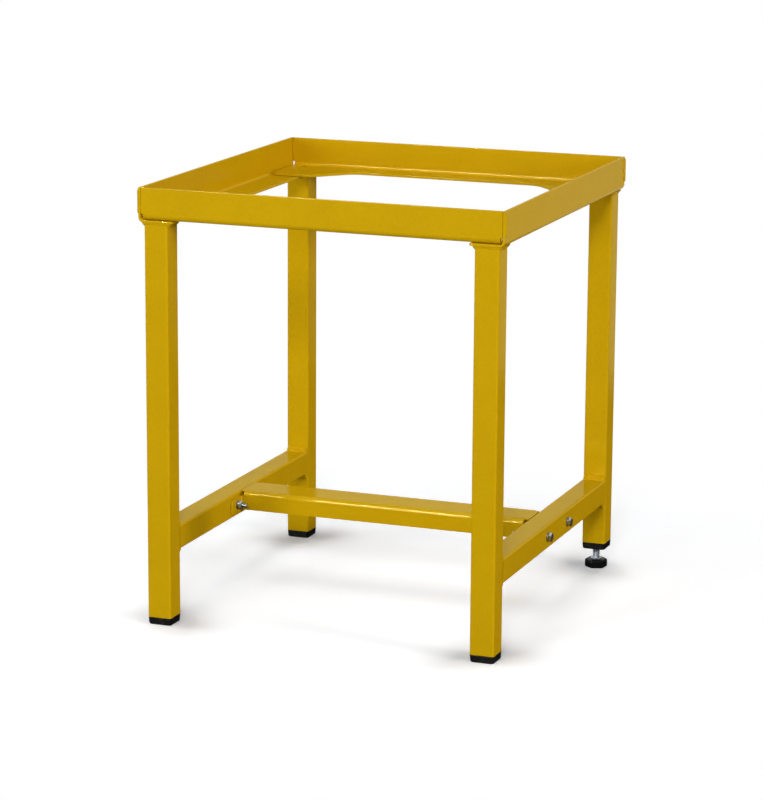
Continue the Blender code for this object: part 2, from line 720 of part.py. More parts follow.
def end_caps(parent):
    pattern = bake(plugged_head("end_cap_pattern", CAP_HEIGHT))
    for end, end_sign in ENDS:
        for side, side_sign in SIDES:
            if f"{end}_{side}" != SHORT_LEG:
                obj = copy_of(pattern, f"end_cap_{end}_{side}")
                place(obj, (side_sign * LEG_X, end_sign * LEG_Y, CAP_HEIGHT))
                finish(obj, BLACK_PLASTIC, parent)
    bpy.data.objects.remove(pattern)


def levelling_insert(axis):
    """The plug in the short leg, with a socket that holds the bush and a mouth that the stud passes."""
    obj = plugged_head("levelling_insert", INSERT_HEAD_HEIGHT)
    socket_floor = BUSH_SEAT - INSERT_HEAD_HEIGHT
    socket_top = PLUG_LENGTH + CUTTER_MARGIN
    socket = cylinder("bush_socket", BUSH_DIAMETER + 2 * SEAT_GAP, socket_top - socket_floor, ROUND_STEPS)
    place(socket, (0, 0, (socket_top + socket_floor) / 2))
    combine(obj, socket, "DIFFERENCE")
    mouth = cylinder("stud_mouth", STUD_DIAMETER + 2 * SEAT_GAP, BUSH_SEAT + 2 * CUTTER_MARGIN, ROUND_STEPS)
    place(mouth, (0, 0, socket_floor - BUSH_SEAT / 2))
    combine(obj, mouth, "DIFFERENCE")
    bake(obj)
    place(obj, (0, 0, INSERT_BOTTOM + INSERT_HEAD_HEIGHT))
    finish(obj, BLACK_PLASTIC, axis)


def threaded_bush(axis):
    profile = ring_profile(STUD_BORE, BUSH_DIAMETER, 0, BUSH_LENGTH)
    obj = turned("threaded_bush", profile, ROUND_STEPS, closed=True)
    place(obj, (0, 0, INSERT_BOTTOM + BUSH_SEAT + SEAT_GAP))
    finish(obj, ZINC, axis)


def levelling_stud(axis):
    """The screw of the foot, with the collar that rests on the pad and the pivot that turns in it."""
    radius = STUD_DIAMETER / 2
    shoulder = COLLAR_DIAMETER / 2
    pivot = PIVOT_DIAMETER / 2
    top = COLLAR_HEIGHT + STUD_LENGTH
    profile = [
        (0, top),
        (radius - STUD_END_CHAMFER, top),
        (radius, top - STUD_END_CHAMFER),
        (radius, COLLAR_HEIGHT),
        (shoulder, COLLAR_HEIGHT),
        (shoulder, 0),
        (pivot, 0),
        (pivot, -PIVOT_LENGTH),
        (0, -PIVOT_LENGTH),
    ]
    obj = turned("levelling_stud", profile, ROUND_STEPS)
    place(obj, (0, 0, COLLAR_BOTTOM))
    finish(obj, ZINC, axis)


def pad_edge_width(a, b):
    """The chamfer of a pad's edge: the top edges, the bottom edges, or none on the upright ones."""
    if a.z * b.z < 0:
        return 0
    return PAD_TOP_CHAMFER if a.z > 0 else PAD_BOTTOM_CHAMFER


def levelling_pad(axis):
    obj = prism("levelling_pad", [rounded_hexagon(PAD_ACROSS_CORNERS, PAD_CORNER_RADIUS)], PAD_HEIGHT)
    bevel_edges(obj, EDGE_STEPS, pad_edge_width)
    socket_depth = PIVOT_LENGTH + SEAT_GAP
    socket = cylinder("pivot_socket", PIVOT_DIAMETER + 2 * RUNNING_CLEARANCE, 2 * socket_depth, ROUND_STEPS)
    place(socket, (0, 0, PAD_HEIGHT / 2))
    combine(obj, socket, "DIFFERENCE")
    bake(obj)
    place(obj, (0, 0, PAD_HEIGHT / 2), (0, 0, PAD_TURN))
    finish(obj, BLACK_PLASTIC, axis)


def levelling_foot(parent):
    """The insert and bush in the short leg, and the pad and stud that screw down out of them."""
    axis = new_empty("levelling_axis", (LEG_X, LEG_Y, 0), parent)
    levelling_insert(axis)
    threaded_bush(axis)
    levelling_stud(axis)
    levelling_pad(axis)


def build():
    origin = new_empty("stand_origin", (0, 0, 0), None)
    for side, side_sign in SIDES:
        side_angle(side, side_sign, origin)
        side_rail(side, side_sign, origin)
    for end, end_sign in ENDS:
        end_angle(end, end_sign, origin)
        for side, side_sign in SIDES:
            leg(end, end_sign, side, side_sign, origin)
            leg_bead(end, end_sign, side, side_sign, origin)
            corner_bead(end, end_sign, side, side_sign, origin)
            rail_bead(end, end_sign, side, side_sign, "top", 1, origin)
            rail_bead(end, end_sign, side, side_sign, "bottom", -1, origin)
    cross_rail(origin)
    fasteners(origin)
    end_caps(origin)
    levelling_foot(origin)


build()
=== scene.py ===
"""Looks of the tool chest stand: coated tray, legs and rails, their welds, the fasteners and the feet."""

import math

import bmesh
import bpy
from mathutils import Matrix, Vector, noise


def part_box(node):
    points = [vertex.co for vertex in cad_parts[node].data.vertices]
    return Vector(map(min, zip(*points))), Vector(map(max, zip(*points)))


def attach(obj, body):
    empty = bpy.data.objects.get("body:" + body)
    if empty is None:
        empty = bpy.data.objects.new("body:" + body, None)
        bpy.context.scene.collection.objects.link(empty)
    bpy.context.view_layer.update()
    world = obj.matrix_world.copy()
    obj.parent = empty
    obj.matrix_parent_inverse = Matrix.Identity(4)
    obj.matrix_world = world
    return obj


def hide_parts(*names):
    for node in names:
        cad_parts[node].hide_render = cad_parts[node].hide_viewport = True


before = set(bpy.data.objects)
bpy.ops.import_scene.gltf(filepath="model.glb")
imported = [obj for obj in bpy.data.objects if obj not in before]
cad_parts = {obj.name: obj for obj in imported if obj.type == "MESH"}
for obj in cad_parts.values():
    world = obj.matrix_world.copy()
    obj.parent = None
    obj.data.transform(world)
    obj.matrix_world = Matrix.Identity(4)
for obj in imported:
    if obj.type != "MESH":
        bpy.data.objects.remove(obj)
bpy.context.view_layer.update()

# Camera of the photograph, solved on the stand's straight edges
CAMERA_PLACE = Vector((1.40565, -3.72058, 1.15299))
CAMERA_YAW = math.radians(20.8305)
CAMERA_PITCH = math.radians(12.6364)
CAMERA_ROLL = math.radians(0.3569)
CAMERA_LENS = 147.456
CAMERA_SENSOR = 36.0

# Folded tray
SHEET = 0.0032
BEND_RADIUS = 0.0070
RELIEF_WIDTH = 0.0027
RELIEF_HEIGHT = 0.0077
FLANGE_WIDTH = 0.0395
TAB_WIDTH = 0.0609
TAB_TAPER = 0.0442
TAB_CORNER_RADIUS = 0.0100
TAB_BLEND_RADIUS = 0.0300
LEG_HOLE_DIAMETER = 0.0130
SHEET_EDGE = 0.0006

# Square tube
TUBE_WALL = 0.0020
TUBE_CORNER = 0.0028
TUBE_BORE_CORNER = 0.0008

# Cross rail
RAIL_SHEET = 0.0020
RAIL_SHEET_EDGE = 0.0004
CHANNEL_BEND = 0.0060
TAB_FOLD = 0.0025
CHANNEL_WIDTH = 0.0570
RELIEF_LENGTH = 0.0010
RELIEF_MARGIN = 0.0005
TAB_DROP = 0.0066
BOLT_TAB_TOP_RADIUS = 0.0070
BOLT_TAB_BOTTOM_RADIUS = 0.0030

# Fasteners
BOLT_DIAMETER = 0.0060
BOLT_PITCH = 0.0010
BOLT_THREAD_LENGTH = 0.0180
BOLT_CHAMFER = 0.0007
BOLT_HEAD_HEIGHT = 0.0040
BOLT_BORE = 0.0066
ACROSS_FLATS = 0.0100
FACE_SHARE = 0.97
HEX_CHAMFER_ANGLE = math.radians(30)
THREAD_DEPTH_PER_PITCH = 0.6134
WASHER_EDGE = 0.0002
TURNED_EDGE = 0.0001
FIT = 0.0003
RUNNING_FIT = FIT / 3

# Moulded ends and levelling foot
CAP_EDGE = 0.0018
CAP_CORNER = 0.0052
CAP_SOFT_EDGE = 0.0003
PLUG_RIBS = 3
PLUG_RIB_DEPTH = 0.0015
PLUG_RIB_THICKNESS = 0.0016
BUSH_CHAMFER = 0.0006
STUD_DIAMETER = 0.0100
STUD_PITCH = 0.0015
STUD_CHAMFER = 0.0010
STUD_EDGE = 0.0003
NECK_LENGTH = 0.0012
NECK_SHARE = 0.93
COLLAR_HEIGHT = 0.0014
COLLAR_DIAMETER = 0.0154
PIVOT_DIAMETER = 0.0080
PIVOT_SOCKET_DEPTH = 0.0063
PAD_ACROSS_CORNERS = 0.0315
PAD_CORNER = 0.0040
PAD_CHAMFER = 0.0018
PAD_FOOT_CHAMFER = 0.0010
PAD_EASE = 0.0007
PAD_SOFT_EDGE = 0.0002
PAD_TURN = math.radians(21)

# Welds
LEG_WELD = 0.0036
LEG_WELD_LIP = 0.0008
LEG_WELD_FULLNESS = 1.55
LEG_WELD_SPACING = 0.0005
OUTER_WELD_LOSS = 0.45
RAIL_WELD_FULLNESS = 1.35
RAIL_WELD_MARGIN = 0.0004
RAIL_WELD_END_LOSS = 0.45
RAIL_WELD_END_DROP = 0.8
CORNER_WELD_LIFT = 0.93
CORNER_WELD_TIP = 0.02
CORNER_WELD_FULLNESS = 0.6
WELD_RIPPLE = 0.0021
WELD_RIPPLE_SHARE = 0.05
WELD_RIPPLE_SHIFTS_PER_METRE = 300
WELD_SWELL_SHARE = 0.16
WELD_SWELLS_PER_METRE = 90

# Smoothness of round shapes
ARC_STEPS = 10
ROUND_STEPS = 48
THREAD_STEPS = 36
THREAD_ROWS = 6
PAD_CORNER_STEPS = 6
SOFT_STEPS = 3
FILLET_STEPS = 7
CORNER_WELD_STEPS = 14
CORNER_WELD_ROWS = 48
RAIL_WELD_ROWS = 72
SHARP_ANGLE = math.radians(35)
JOIN_DISTANCE = 1e-6

SIDES = (("left", -1), ("right", 1))
ENDS = (("front", -1), ("rear", 1))
LEVELS = (("bottom", -1), ("top", 1))
SQUARE = ((-1, -1), (1, -1), (1, 1), (-1, 1))
HEX_SIDES = 6

# Colours of the finishes
DEEP_YELLOW = (0.575, 0.350, 0.003, 1)
PALE_YELLOW = (0.610, 0.376, 0.003, 1)
GLOSS_YELLOW = (1, 0.92, 0.31, 1)
# Painted shade in the pinholes' pits
PINHOLE_SHADE = (0.16, 0.08, 0.0, 1)
DULL_ZINC = (0.32, 0.36, 0.40, 1)
BRIGHT_ZINC = (0.50, 0.54, 0.57, 1)

# Grain of the finishes in spots per metre, with the depth of its relief
COAT_CLOUDS = 22.0
COAT_PEEL = 360.0
COAT_GRAIN = 900.0
COAT_RELIEF = 0.000055
PINHOLE_CELLS = 55.0
PLASTIC_RUBS_AND_SHEEN = 140.0
PLASTIC_GRAIN = 2600.0
PLASTIC_RELIEF = 0.00002
ZINC_CLOUDS = 420.0
ZINC_MARKS = 3200.0
ZINC_RELIEF = 0.000012

# Where a grain turns from one look to the other
MIDDLE_OF_SPOTS = (0.35, 0.65)
RUBS_AND_SHEEN_SPOTS = (0.48, 0.72)
PINHOLE_EDGE = (0.012, 0.026)
PINHOLE_CELLS_ABOVE = 0.93

# Shine of the finishes
COAT_IOR = 1.5
COAT_SHEEN = 0.4
PLASTIC_SHINE = 0.14


# Shader maths

# Places of a Mix node's sockets for colours, which have the same names as those for numbers
MIX_SHARE = 0
MIX_FIRST_COLOUR = 6
MIX_SECOND_COLOUR = 7
MIX_COLOUR = 2


class Channel:
    """A number, colour or vector that a finish's nodes give, with Python's operators as Math nodes."""

    def __init__(self, finish, socket):
        self.finish = finish
        self.socket = socket

    def maths(self, operation, *values):
        sockets = dict(enumerate(values))
        return self.finish.node("ShaderNodeMath", {"operation": operation}, sockets)

    def __add__(self, other):
        return self.maths("ADD", self, other)

    def __radd__(self, other):
        return self.maths("ADD", other, self)

    def __sub__(self, other):
        return self.maths("SUBTRACT", self, other)

    def __rsub__(self, other):
        return self.maths("SUBTRACT", other, self)

    def __mul__(self, other):
        return self.maths("MULTIPLY", self, other)

    def __rmul__(self, other):
        return self.maths("MULTIPLY", other, self)

    def __gt__(self, other):
        return self.maths("GREATER_THAN", self, other)

    def __lt__(self, other):
        return self.maths("LESS_THAN", self, other)

    def between(self, low, high):
        """0 below low, 1 above high and smooth in between."""
        sockets = {"Value": self, "From Min": low, "From Max": high}
        return self.finish.node("ShaderNodeMapRange", {"interpolation_type": "SMOOTHSTEP"}, sockets)

    def largest(self, other):
        return self.maths("MAXIMUM", self, other)


class Finish:
    """The node tree of a material or of the world."""

    def __init__(self, owner):
        owner.use_nodes = True
        self.owner = owner
        self.tree = owner.node_tree
        self.tree.nodes.clear()

    def node(self, kind, settings=None, sockets=None, output=0):
        """Adds a node: its settings first, then its sockets' values or links. Gives one of its outputs."""
        made = self.tree.nodes.new(kind)
        for name, value in (settings or {}).items():
            setattr(made, name, value)
        for name, value in (sockets or {}).items():
            if isinstance(value, Channel):
                self.tree.links.new(value.socket, made.inputs[name])
            else:
                made.inputs[name].default_value = value
        return Channel(self, made.outputs[output]) if made.outputs else None

    def mix(self, share, first, second):
        """A colour between two colours."""
        sockets = {MIX_SHARE: share, MIX_FIRST_COLOUR: first, MIX_SECOND_COLOUR: second}
        return self.node("ShaderNodeMix", {"data_type": "RGBA"}, sockets, MIX_COLOUR)

    def place(self):
        return self.node("ShaderNodeTexCoord", output="Object")

    def speckle(self, scale, detail=2.0, roughness=0.5, where=None):
        """Soft random spots, about 1 / scale metres across."""
        return self.node("ShaderNodeTexNoise", None, {
            "Vector": where or self.place(),
            "Scale": scale,
            "Detail": detail,
            "Roughness": roughness,
        })

    def relief(self, height, depth):
        return self.node("ShaderNodeBump", None, {"Strength": 1.0, "Distance": depth, "Height": height})

    def blend(self, share, first, second):
        """A shader between two shaders."""
        return self.node("ShaderNodeMixShader", None, {0: share, 1: first, 2: second})

    def matt(self, colour):
        return self.node("ShaderNodeBsdfPrincipled", None, {
            "Base Color": colour,
            "Roughness": 1.0,
            "Specular IOR Level": 0.0,
        })

    def glow(self, strength, colour=(1, 1, 1, 1)):
        return self.node("ShaderNodeEmission", None, {"Color": colour, "Strength": strength})

    def light_path(self, name):
        return self.node("ShaderNodeLightPath", output=name)

    def surface(self, shader):
        self.node("ShaderNodeOutputMaterial", None, {"Surface": shader})
        return self.owner


def new_finish(name):
    return Finish(bpy.data.materials.new(name))


def yellow_powder_coat():
    """Glossy yellow powder coat with fine orange peel, faint cloudiness and a few pinholes, with painted
    shading of the peel and painted shade in the pinholes.
    """
    coat = new_finish("yellow_powder_coat")
    cloud = coat.speckle(COAT_CLOUDS)
    grain = coat.speckle(COAT_GRAIN)
    peel = coat.speckle(COAT_PEEL, detail=1.0, roughness=0.4)
    cells = {"Vector": coat.place(), "Scale": PINHOLE_CELLS}
    pin_distance = coat.node("ShaderNodeTexVoronoi", None, cells, "Distance")
    pin_cell = coat.node("ShaderNodeTexVoronoi", None, cells, "Color")
    chosen = coat.node("ShaderNodeSeparateColor", None, {"Color": pin_cell}, "Red") > PINHOLE_CELLS_ABOVE
    pinhole = (1 - pin_distance.between(*PINHOLE_EDGE)) * chosen
    # Colour: random cloudiness and grain, and painted shading of the orange peel, which follows the peel's
    # relief
    tone_and_peel_shade = (cloud * 0.35 + grain * 0.15 + peel * 0.5).between(*MIDDLE_OF_SPOTS)
    colour = coat.mix(tone_and_peel_shade, DEEP_YELLOW, PALE_YELLOW)
    # Pinholes darkened with painted shade in their pits
    colour = coat.mix(pinhole * 0.6, colour, PINHOLE_SHADE)
    skin = coat.relief(peel + grain * 0.15 - pinhole * 1.5, COAT_RELIEF)
    paint = coat.node("ShaderNodeBsdfPrincipled", None, {
        "Base Color": colour,
        "Roughness": 0.5 + cloud * 0.1,
        "Specular IOR Level": 0.0,
        "Normal": skin,
    })
    gloss = coat.node("ShaderNodeBsdfPrincipled", None, {
        "Base Color": GLOSS_YELLOW,
        "Metallic": 1.0,
        "Roughness": 0.10 + cloud * 0.04,
        "Normal": skin,
    })
    sheen = coat.node("ShaderNodeFresnel", None, {"IOR": COAT_IOR, "Normal": skin}) * COAT_SHEEN
    return coat.surface(coat.blend(sheen, paint, gloss))


def black_moulded_plastic(name, rubs_and_sheen_share, dark, pale):
    """Black plastic with a fine moulded grain and paler patches, partly rubbed wear and partly painted
    sheen.
    """
    plastic = new_finish(name)
    rubs_and_sheen = plastic.speckle(PLASTIC_RUBS_AND_SHEEN, detail=4.0, roughness=0.6).between(*RUBS_AND_SHEEN_SPOTS)
    grain = plastic.speckle(PLASTIC_GRAIN, detail=1.0)
    # Paler patches: partly rubbed wear, partly painted sheen that stands in for highlights
    colour = plastic.mix(rubs_and_sheen * rubs_and_sheen_share, (dark, dark, dark * 1.04, 1), (pale, pale, pale * 1.05, 1))
    return plastic.surface(plastic.node("ShaderNodeBsdfPrincipled", None, {
        "Base Color": colour,
        "Roughness": 0.36 + rubs_and_sheen * 0.12 + grain * 0.06,
        "Specular IOR Level": PLASTIC_SHINE,
        "Normal": plastic.relief(grain, PLASTIC_RELIEF),
    }))


def zinc_plate():
    """Bright zinc plate on steel, a little cloudy, with fine turning marks."""
    zinc = new_finish("zinc_plated_steel")
    cloud = zinc.speckle(ZINC_CLOUDS, detail=3.0)
    marks = zinc.speckle(ZINC_MARKS, roughness=0.6)
    colour = zinc.mix(cloud.between(*MIDDLE_OF_SPOTS), DULL_ZINC, BRIGHT_ZINC)
    return zinc.surface(zinc.node("ShaderNodeBsdfPrincipled", None, {
        "Base Color": colour,
        "Metallic": 1.0,
        "Roughness": 0.30 + cloud * 0.14,
        "Normal": zinc.relief(marks, ZINC_RELIEF),
    }))


YELLOW = yellow_powder_coat()
CAP_BLACK = black_moulded_plastic("cap_plastic", rubs_and_sheen_share=1.0, dark=0.006, pale=0.018)
PAD_BLACK = black_moulded_plastic("pad_plastic", rubs_and_sheen_share=0.6, dark=0.0035, pale=0.008)
ZINC = zinc_plate()


# Outlines

def rounded_outline(corners, steps=ARC_STEPS):
    """The closed outline through corners (x, y, radius), each rounded by an arc of its radius."""
    points = []
    for index, (x, y, radius) in enumerate(corners):
        corner = Vector((x, y))
        if radius <= 0:
            points.append(corner)
            continue
        towards_last = (Vector(corners[index - 1][:2]) - corner).normalized()
        towards_next = (Vector(corners[(index + 1) % len(corners)][:2]) - corner).normalized()
        half_angle = towards_last.angle(towards_next) / 2
        tangent = radius / math.tan(half_angle)
        centre = corner + (towards_last + towards_next).normalized() * radius / math.sin(half_angle)
        start = corner + towards_last * tangent - centre
        end = corner + towards_next * tangent - centre
        first = math.atan2(start.y, start.x)
        sweep = (math.atan2(end.y, end.x) - first + math.pi) % (2 * math.pi) - math.pi
        for step in range(steps + 1):
            angle = first + sweep * step / steps
            points.append(centre + radius * Vector((math.cos(angle), math.sin(angle))))
    return points


def rounded_square(size, radius):
    return rounded_outline([(x * size / 2, y * size / 2, radius) for x, y in SQUARE])


def rounded_hexagon(across_corners, radius):
    turns = [2 * math.pi * side / HEX_SIDES for side in range(HEX_SIDES)]
    reach = across_corners / 2
    corners = [(reach * math.cos(turn), reach * math.sin(turn), radius) for turn in turns]
    return rounded_outline(corners, PAD_CORNER_STEPS)


def evenly_spaced(outline, spacing):
    """Points along a closed outline, about a spacing apart, each with the direction out of it."""
    lengths = [(b - a).length for a, b in zip(outline, outline[1:] + outline[:1])]
    total = sum(lengths)
    count = round(total / spacing)
    points = []
    for index in range(count):
        left = total * index / count
        segment = 0
        while left > lengths[segment]:
            left -= lengths[segment]
            segment += 1
        start = outline[segment]
        end = outline[(segment + 1) % len(outline)]
        points.append(start.lerp(end, left / lengths[segment]))
    stations = []
    for index, point in enumerate(points):
        along = points[(index + 1) % count] - points[index - 1]
        stations.append((point, Vector((along.y, -along.x)).normalized()))
    return stations


# Meshes

def new_mesh(name, shape):
    bmesh.ops.recalc_face_normals(shape, faces=shape.faces)
    mesh = bpy.data.meshes.new(name)
    shape.to_mesh(mesh)
    shape.free()
    return mesh


def shown(name, mesh):
    obj = bpy.data.objects.new(name, mesh)
    bpy.context.scene.collection.objects.link(obj)
    return obj


def settled(obj):
    """Turns an object's modifiers and place into its own mesh."""
    bpy.context.view_layer.update()
    mesh = bpy.data.meshes.new_from_object(obj.evaluated_get(bpy.context.evaluated_depsgraph_get()))
    mesh.transform(obj.matrix_world)
    cutters = [modifier.object for modifier in obj.modifiers if modifier.type == "BOOLEAN"]
    obj.modifiers.clear()
    obj.data = mesh
    obj.matrix_world = Matrix.Identity(4)
    for cutter in cutters:
        bpy.data.objects.remove(cutter)
    return obj


def cut_away(obj, cutter):
    modifier = obj.modifiers.new("cut", "BOOLEAN")
    modifier.operation = "DIFFERENCE"
    modifier.solver = "EXACT"
    modifier.object = cutter


def stacked(name, sections, closed=False):
    """Skins sections, lists of points of one length, and caps both ends or, if closed, joins them."""
    shape = bmesh.new()
    rings = [[shape.verts.new(point) for point in section] for section in sections]
    pairs = list(zip(rings, rings[1:]))
    if closed:
        pairs.append((rings[-1], rings[0]))
    for lower, upper in pairs:
        for index in range(len(lower)):
            after = (index + 1) % len(lower)
            shape.faces.new((lower[index], lower[after], upper[after], upper[index]))
    if not closed:
        shape.faces.new(rings[0])
        shape.faces.new(rings[-1])
    return shown(name, new_mesh(name, shape))


def level_outline(outline, z):
    return [(x, y, z) for x, y in outline]


def circle(diameter, steps=ROUND_STEPS):
    turns = [2 * math.pi * step / steps for step in range(steps)]
    return [Vector((math.cos(turn), math.sin(turn))) * diameter / 2 for turn in turns]


def cylinder(name, diameter, low, high):
    ring = circle(diameter)
    return stacked(name, [level_outline(ring, low), level_outline(ring, high)])


def turned_sections(profile, pitch=0):
    """Rings of a profile of (radius, height, depth of right-hand thread) about Z."""
    sections = []
    for radius, height, depth in profile:
        section = []
        for step in range(THREAD_STEPS):
            share = step / THREAD_STEPS
            turn = 2 * math.pi * share
            groove = abs(2 * ((height / pitch - share) % 1) - 1) if pitch else 0
            reach = radius - depth * groove
            section.append((reach * math.cos(turn), reach * math.sin(turn), height))
        sections.append(section)
    return sections


def turned(name, profile, pitch=0, closed=False):
    return stacked(name, turned_sections(profile, pitch), closed)


def thread_profile(diameter, pitch, low, high, chamfer):
    """Rows of a thread from low up to high, chamfered at its high end."""
    rows = round((high - low) / pitch * THREAD_ROWS)
    depth = THREAD_DEPTH_PER_PITCH * pitch
    profile = []
    for row in range(rows + 1):
        height = low + (high - low) * row / rows
        cut = max(0, chamfer - (high - height))
        runout = min(1, (height - low) / pitch)
        profile.append((diameter / 2 - cut, height, max(0, depth * runout - cut)))
    return profile


def folded_sheet(name, panels, folds, thickness):
    """Flat panels (points, outward direction) joined at folds (end, end, radius of the outward side)."""
    shape = bmesh.new()
    for corners, outward in panels:
        panel = shape.faces.new([shape.verts.new(corner) for corner in corners])
        panel.normal_update()
        if panel.normal.dot(Vector(outward)) < 0:
            panel.normal_flip()
    bmesh.ops.remove_doubles(shape, verts=shape.verts, dist=JOIN_DISTANCE)
    widest = max(radius for _, _, radius in folds)
    weight = shape.edges.layers.float.new("bevel_weight_edge")
    for edge in shape.edges:
        middle = (edge.verts[0].co + edge.verts[1].co) / 2
        for first, last, radius in folds:
            if (middle - (Vector(first) + Vector(last)) / 2).length < JOIN_DISTANCE:
                edge[weight] = radius / widest
    mesh = bpy.data.meshes.new(name)
    shape.to_mesh(mesh)
    shape.free()
    obj = shown(name, mesh)
    bend = obj.modifiers.new("bends", "BEVEL")
    bend.limit_method = "WEIGHT"
    bend.width = widest
    bend.segments = ARC_STEPS
    bend.use_clamp_overlap = False
    gauge = obj.modifiers.new("gauge", "SOLIDIFY")
    gauge.thickness = thickness
    gauge.offset = -1
    gauge.use_even_offset = True
    return obj


def soften(obj, width):
    """Rounds the sharp edges of a piece and keeps its flat faces flat to the light."""
    edges = obj.modifiers.new("soft_edges", "BEVEL")
    edges.limit_method = "ANGLE"
    edges.angle_limit = SHARP_ANGLE
    edges.width = width
    edges.segments = SOFT_STEPS
    return evenly_shaded(obj)


def evenly_shaded(obj):
    shading = obj.modifiers.new("even_shading", "WEIGHTED_NORMAL")
    shading.keep_sharp = True
    return obj


def fitted(obj, finish, body, *nodes):
    """Finishes a piece that stands for CAD nodes and rides on a body."""
    obj.data.materials.clear()
    obj.data.materials.append(finish)
    obj.data.shade_smooth()
    obj.data.set_sharp_from_angle(angle=SHARP_ANGLE)
    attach(obj, body)
    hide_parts(*nodes)


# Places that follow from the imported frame

TRAY_LOW, TRAY_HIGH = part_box("side_angle_right")
LEG_LOW, LEG_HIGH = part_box("leg_front_right")
TUBE = LEG_HIGH.x - LEG_LOW.x
LEG_X = (LEG_LOW.x + LEG_HIGH.x) / 2
LEG_Y = abs(LEG_LOW.y + LEG_HIGH.y) / 2
TRAY_BOTTOM = TRAY_LOW.z
END_LEDGE = TRAY_HIGH.y - LEG_Y - TUBE / 2
RAIL_LOW, RAIL_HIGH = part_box("side_rail_right")
RAIL_HEIGHT = (RAIL_LOW.z + RAIL_HIGH.z) / 2
FOOT_AXIS = Matrix.Translation((LEG_X, LEG_Y, 0))


# Tray

def drill_leg_hole(obj, x, y):
    cutter = cylinder("drill", LEG_HOLE_DIAMETER, TRAY_BOTTOM - SHEET, TRAY_BOTTOM + 3 * SHEET)
    cutter.location = (x, y, 0)
    cut_away(obj, cutter)


def tray_side(side, sign):
    node = "side_angle_" + side
    low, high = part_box(node)
    outer = high.x if sign > 0 else low.x
    inner = low.x if sign > 0 else high.x
    fold = [(outer, low.y, low.z), (outer, high.y, low.z)]
    wall = fold + [(outer, high.y, high.z), (outer, low.y, high.z)]
    flange = fold + [(inner, high.y, low.z), (inner, low.y, low.z)]
    panels = [(wall, (sign, 0, 0)), (flange, (0, 0, -1))]
    obj = folded_sheet("tray_side_" + side, panels, [(*fold, BEND_RADIUS)], SHEET)
    for _, end_sign in ENDS:
        drill_leg_hole(obj, sign * LEG_X, end_sign * LEG_Y)
    settled(obj)
    fitted(soften(obj, SHEET_EDGE), YELLOW, "frame", node)


def tray_end(end, sign):
    node = end + "_angle"
    low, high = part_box(node)
    outer = high.y if sign > 0 else low.y
    half = high.x
    tab_end = half - RELIEF_WIDTH
    tab_foot = half - TAB_WIDTH
    relief_top = low.z + RELIEF_HEIGHT

    wall = [(tab_end, low.z), (tab_end, relief_top), (half, relief_top), (half, high.z)]
    wall = wall + [(-x, z) for x, z in reversed(wall)]
    reach = high.y - low.y
    right = [
        (tab_end, 0, 0),
        (tab_end, reach, TAB_CORNER_RADIUS),
        (tab_foot, reach, TAB_BLEND_RADIUS),
        (tab_foot - TAB_TAPER, FLANGE_WIDTH, TAB_BLEND_RADIUS),
    ]
    flange = rounded_outline(right + [(-x, y, radius) for x, y, radius in reversed(right)])
    panels = [
        ([(x, outer, z) for x, z in wall], (0, sign, 0)),
        ([(x, outer - sign * y, low.z) for x, y in flange], (0, 0, -1)),
    ]
    fold = ((-tab_end, outer, low.z), (tab_end, outer, low.z), BEND_RADIUS)
    obj = folded_sheet("tray_" + end, panels, [fold], SHEET)
    for _, side_sign in SIDES:
        drill_leg_hole(obj, side_sign * LEG_X, sign * LEG_Y)
    settled(obj)
    fitted(soften(obj, SHEET_EDGE), YELLOW, "frame", node)


# Welds

def unevenness(along, seed):
    """How a weld swells and ripples along its length, about 1."""
    shift = 2 * noise.noise((along * WELD_RIPPLE_SHIFTS_PER_METRE, seed, 0))
    ripple = WELD_RIPPLE_SHARE * math.sin(2 * math.pi * along / WELD_RIPPLE + shift)
    swell = WELD_SWELL_SHARE * noise.noise((along * WELD_SWELLS_PER_METRE, seed, 5))
    return 1 + ripple + swell


def fillet(width, height, fullness):
    """A weld's section from (width, 0) to (0, height), flat at fullness 2, round at 1, and its corner."""
    points = []
    for step in range(FILLET_STEPS + 1):
        angle = math.pi / 2 * step / FILLET_STEPS
        points.append((width * math.cos(angle) ** fullness, height * math.sin(angle) ** fullness))
    return points + [(0, 0)]


def corner_weld(end, end_sign, side, side_sign):
    """A bead that lies over the seam between a side wall and an end wall."""
    node = f"corner_bead_{end}_{side}"
    low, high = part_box(node)
    face = side_sign * TRAY_HIGH.x
    thickness = max(abs(low.x), abs(high.x)) - TRAY_HIGH.x
    middle = (low.y + high.y) / 2
    half_width = (high.y - low.y) / 2
    length = high.z - low.z
    seed = LEG_X * side_sign + end_sign
    sections = []
    for row in range(CORNER_WELD_ROWS + 1):
        share = row / CORNER_WELD_ROWS
        from_end = min(share, 1 - share) * length
        swell = math.sqrt(max(CORNER_WELD_TIP, 1 - max(0, 1 - from_end / half_width) ** 2))
        lift = thickness * swell * min(1, CORNER_WELD_LIFT * unevenness(share * length, seed))
        section = []
        for step in range(CORNER_WELD_STEPS + 1):
            angle = math.pi * step / CORNER_WELD_STEPS
            rise = math.sin(angle) ** CORNER_WELD_FULLNESS
            y = middle + half_width * swell * math.cos(angle)
            section.append((face + side_sign * lift * rise, y, low.z + share * length))
        sections.append(section)
    fitted(stacked(f"corner_weld_{end}_{side}", sections), YELLOW, "frame", node)


